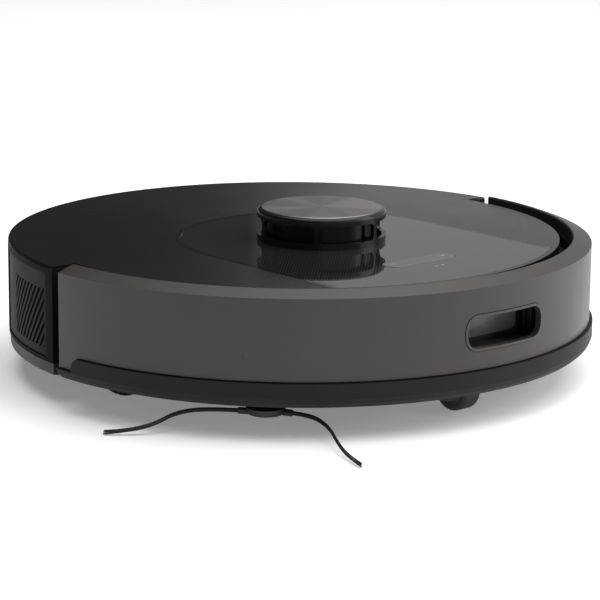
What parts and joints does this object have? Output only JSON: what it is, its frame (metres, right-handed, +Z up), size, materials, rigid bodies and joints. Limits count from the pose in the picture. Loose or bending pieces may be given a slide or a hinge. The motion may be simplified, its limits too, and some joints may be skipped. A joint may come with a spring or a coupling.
{
  "type": "robot vacuum cleaner",
  "caption": "Round black robot vacuum with a lidar turret, sprung front bumper, drive wheels, caster, brush roll, corner brush, fan and pull-out dust box.",
  "frame": {"origin": "on the floor, straight below the middle of the round body, where the plane of the tyres and the caster lies", "axes": "+Z up; the front with the bumper and sensor window faces -Y; the robot's own left is +X"},
  "size_m": [0.3639, 0.3608, 0.0988],
  "materials": {
    "cover_satin": "satin",
    "bumper_grey": "satin",
    "guard_black": "soft",
    "chassis_black": "fine grain",
    "vent_black": "satin",
    "gloss_black": "mirror gloss with a fine hatch below",
    "cage_black": "gloss",
    "disc_metal": "radially brushed",
    "button_grey": "satin",
    "frame_grey": "satin",
    "bay_black": "ribbed",
    "lens_grey": "gloss",
    "lens_dark": "polished",
    "window_dark": "polished",
    "inner_plastic": "moulded",
    "light_plastic": "moulded",
    "box_clear": "translucent smoke",
    "wheel_plastic": "moulded",
    "tyre_rubber": "rubber with a diamond tread",
    "soft_rubber": "matt",
    "fin_rubber": "matt",
    "bristle_black": "bundled bristles",
    "belt_rubber": "matt",
    "steel": "turned",
    "motor_steel": "drawn",
    "contact_plate": "polished",
    "board_green": "solder mask",
    "battery_wrap": "shrink sleeve",
    "led_white": "frosted",
    "filter_paper": "pleated"
  },
  "bodies": {
    "body": {"battery_cover": "chassis_black", "battery_pack": "battery_wrap", "bottom_chassis": "chassis_black", "brush_cover": "fin_rubber", "brush_gearbox": "light_plastic", "brush_housing": "inner_plastic", "brush_motor": "motor_steel", "bumper_springs": "steel", "bumper_switches": "inner_plastic", "button_board": "board_green", "charge_contacts": "contact_plate", "cliff_windows": "window_dark", "duct_seal": "soft_rubber", "fan_housing": "inner_plastic", "fan_motor": "motor_steel", "lidar_base": "inner_plastic", "lidar_belt": "belt_rubber", "lidar_motor": "motor_steel", "main_board": "board_green", "pattern_plate": "gloss_black", "side_brush_motor": "inner_plastic", "speaker": "inner_plastic", "status_leds": "led_white", "top_shell": "cover_satin", "turret_cage": "cage_black", "turret_disc": "disc_metal", "underside_screws": "steel", "vent_grille": "vent_black", "wheel_pins": "steel", "wheel_springs": "steel", "wiper_blade": "soft_rubber"},
    "bumper": {"bumper_shell": "bumper_grey", "bumper_guard": "guard_black", "window_frame": "frame_grey", "sensor_bay": "bay_black", "sensor_lens": "lens_grey"},
    "lidar_head": {"lidar_rotor": "cage_black", "lidar_lenses": "lens_dark"},
    "lidar_drive": {"lidar_pulley": "light_plastic"},
    "button": {"button_pill": "button_grey"},
    "arm_left": {"wheel_arm_left": "inner_plastic"},
    "wheel_left": {"wheel_hub_left": "wheel_plastic", "wheel_tyre_left": "tyre_rubber"},
    "arm_right": {"wheel_arm_right": "inner_plastic"},
    "wheel_right": {"wheel_hub_right": "wheel_plastic", "wheel_tyre_right": "tyre_rubber"},
    "caster": {"caster_fork": "inner_plastic", "caster_axle": "steel"},
    "caster_roll": {"caster_wheel": "soft_rubber"},
    "main_brush": {"brush_core": "wheel_plastic", "brush_fins": "fin_rubber"},
    "side_brush": {"side_brush_hub": "wheel_plastic", "side_brush_screw": "steel", "side_brush_arms": "bristle_black"},
    "dust_drawer": {"dust_box": "box_clear", "dust_lid": "inner_plastic", "dust_filter": "filter_paper", "dust_panel": "cover_satin"},
    "release": {"release_button": "frame_grey"},
    "fan": {"fan_impeller": "light_plastic"}
  },
  "joints": [
    {"name": "bumper_push", "type": "slide", "parent": "body", "child": "bumper", "axis": [0, 1, 0], "range_m": [0, 0.005], "stiffness_N_per_m": 600, "springref_m": -0.003, "deforming": ["bumper_springs"]},
    {"name": "lidar_spin", "type": "hinge", "parent": "body", "child": "lidar_head", "pos_m": [0, -0.0215, 0.08], "axis": [0, 0, 1], "continuous": true},
    {"name": "lidar_drive_spin", "type": "hinge", "parent": "body", "child": "lidar_drive", "pos_m": [0.052, -0.0215, 0.07], "axis": [0, 0, 1], "continuous": true},
    {"name": "button_rock", "type": "hinge", "parent": "body", "child": "button", "pos_m": [0, -0.104, 0.0729], "axis": [0, 1, 0], "range_deg": [-1.5, 1.5], "stiffness_Nm_per_rad": 0.6},
    {"name": "arm_left_droop", "type": "hinge", "parent": "body", "child": "arm_left", "pos_m": [0.1075, -0.038, 0.046], "axis": [-1, 0, 0], "range_deg": [0, 20], "stiffness_Nm_per_rad": 0.3, "springref_deg": 51.57, "deforming": ["wheel_springs"]},
    {"name": "wheel_left_spin", "type": "hinge", "parent": "arm_left", "child": "wheel_left", "pos_m": [0.122, 0.008, 0.034], "axis": [1, 0, 0], "continuous": true},
    {"name": "arm_right_droop", "type": "hinge", "parent": "body", "child": "arm_right", "pos_m": [-0.1075, -0.038, 0.046], "axis": [-1, 0, 0], "range_deg": [0, 20], "stiffness_Nm_per_rad": 0.3, "springref_deg": 51.57, "deforming": ["wheel_springs"]},
    {"name": "wheel_right_spin", "type": "hinge", "parent": "arm_right", "child": "wheel_right", "pos_m": [-0.122, 0.008, 0.034], "axis": [1, 0, 0], "continuous": true},
    {"name": "caster_swivel", "type": "hinge", "parent": "body", "child": "caster", "pos_m": [0, -0.1295, 0.03], "axis": [0, 0, 1], "continuous": true},
    {"name": "caster_roll_spin", "type": "hinge", "parent": "caster", "child": "caster_roll", "pos_m": [0, -0.1375, 0.013], "axis": [1, 0, 0], "continuous": true},
    {"name": "main_brush_spin", "type": "hinge", "parent": "body", "child": "main_brush", "pos_m": [0, 0.03, 0.0225], "axis": [1, 0, 0], "continuous": true},
    {"name": "side_brush_spin", "type": "hinge", "parent": "body", "child": "side_brush", "pos_m": [-0.109, -0.099, 0.01], "axis": [0, 0, 1], "continuous": true},
    {"name": "dust_drawer_slide", "type": "slide", "parent": "body", "child": "dust_drawer", "axis": [0, 1, 0], "range_m": [0, 0.12]},
    {"name": "release_press", "type": "slide", "parent": "dust_drawer", "child": "release", "axis": [0, -1, 0], "range_m": [0, 0.002], "stiffness_N_per_m": 800, "springref_m": -0.001},
    {"name": "fan_spin", "type": "hinge", "parent": "body", "child": "fan", "pos_m": [-0.105, 0.084, 0.04], "axis": [0, 0, 1], "continuous": true}
  ],
  "couplings": [
    {"joint": "lidar_drive_spin", "follows": "lidar_spin", "ratio": 5.8}
  ]
}
